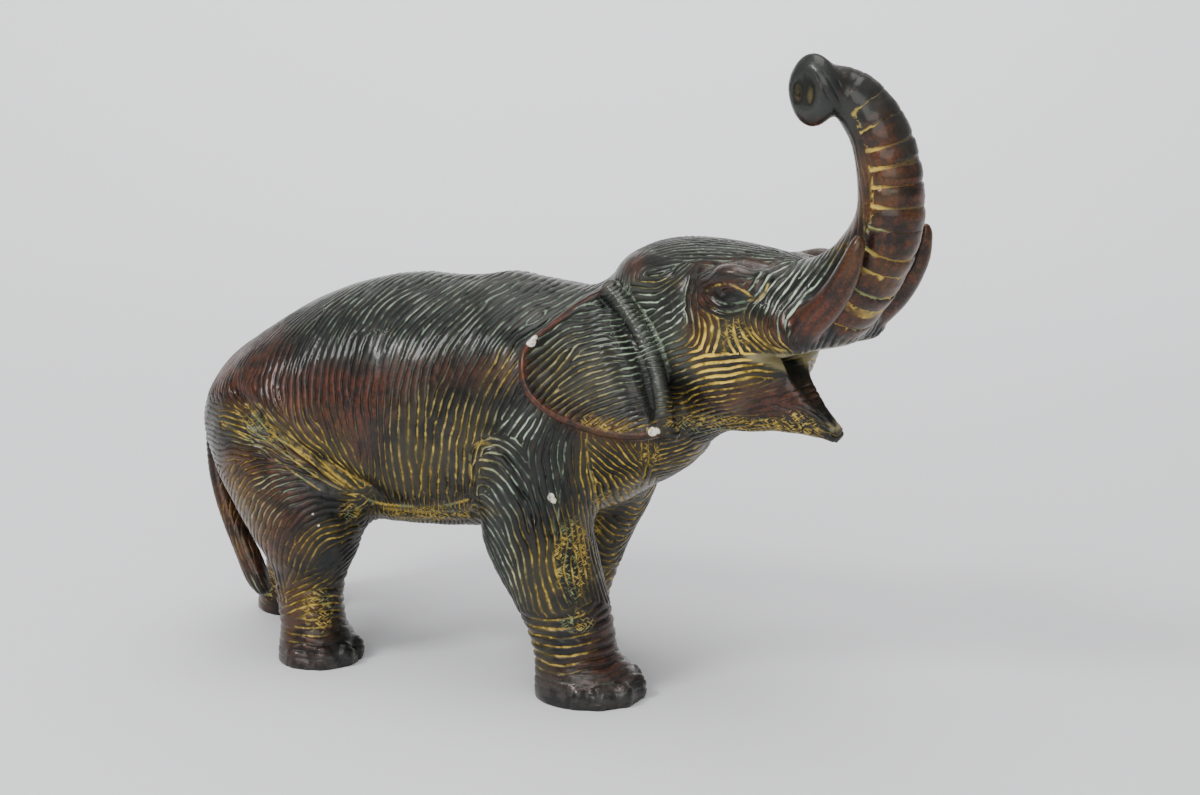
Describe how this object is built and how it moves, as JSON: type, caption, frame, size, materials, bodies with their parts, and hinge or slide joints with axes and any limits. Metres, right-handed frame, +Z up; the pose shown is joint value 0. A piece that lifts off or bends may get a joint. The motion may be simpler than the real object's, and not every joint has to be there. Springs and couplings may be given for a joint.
{
  "type": "elephant figurine",
  "caption": "A patinated bronze elephant walking with head and trunk lifted, mouth open and tusks raised, its hide engraved with flowing wrinkles.",
  "frame": {"origin": "centre of the bounding box's base, on the plane the soles stand on", "axes": "+X the way the body faces, +Y the figure's left, +Z up; the head is turned towards -Y"},
  "size_m": [0.3194, 0.1364, 0.2582],
  "materials": {
    "bronze": "dark green-black patina with ochre in the wrinkles and red-brown rubbed high points, satin"
  },
  "bodies": {
    "root": {"elephant": "bronze"}
  },
  "joints": []
}
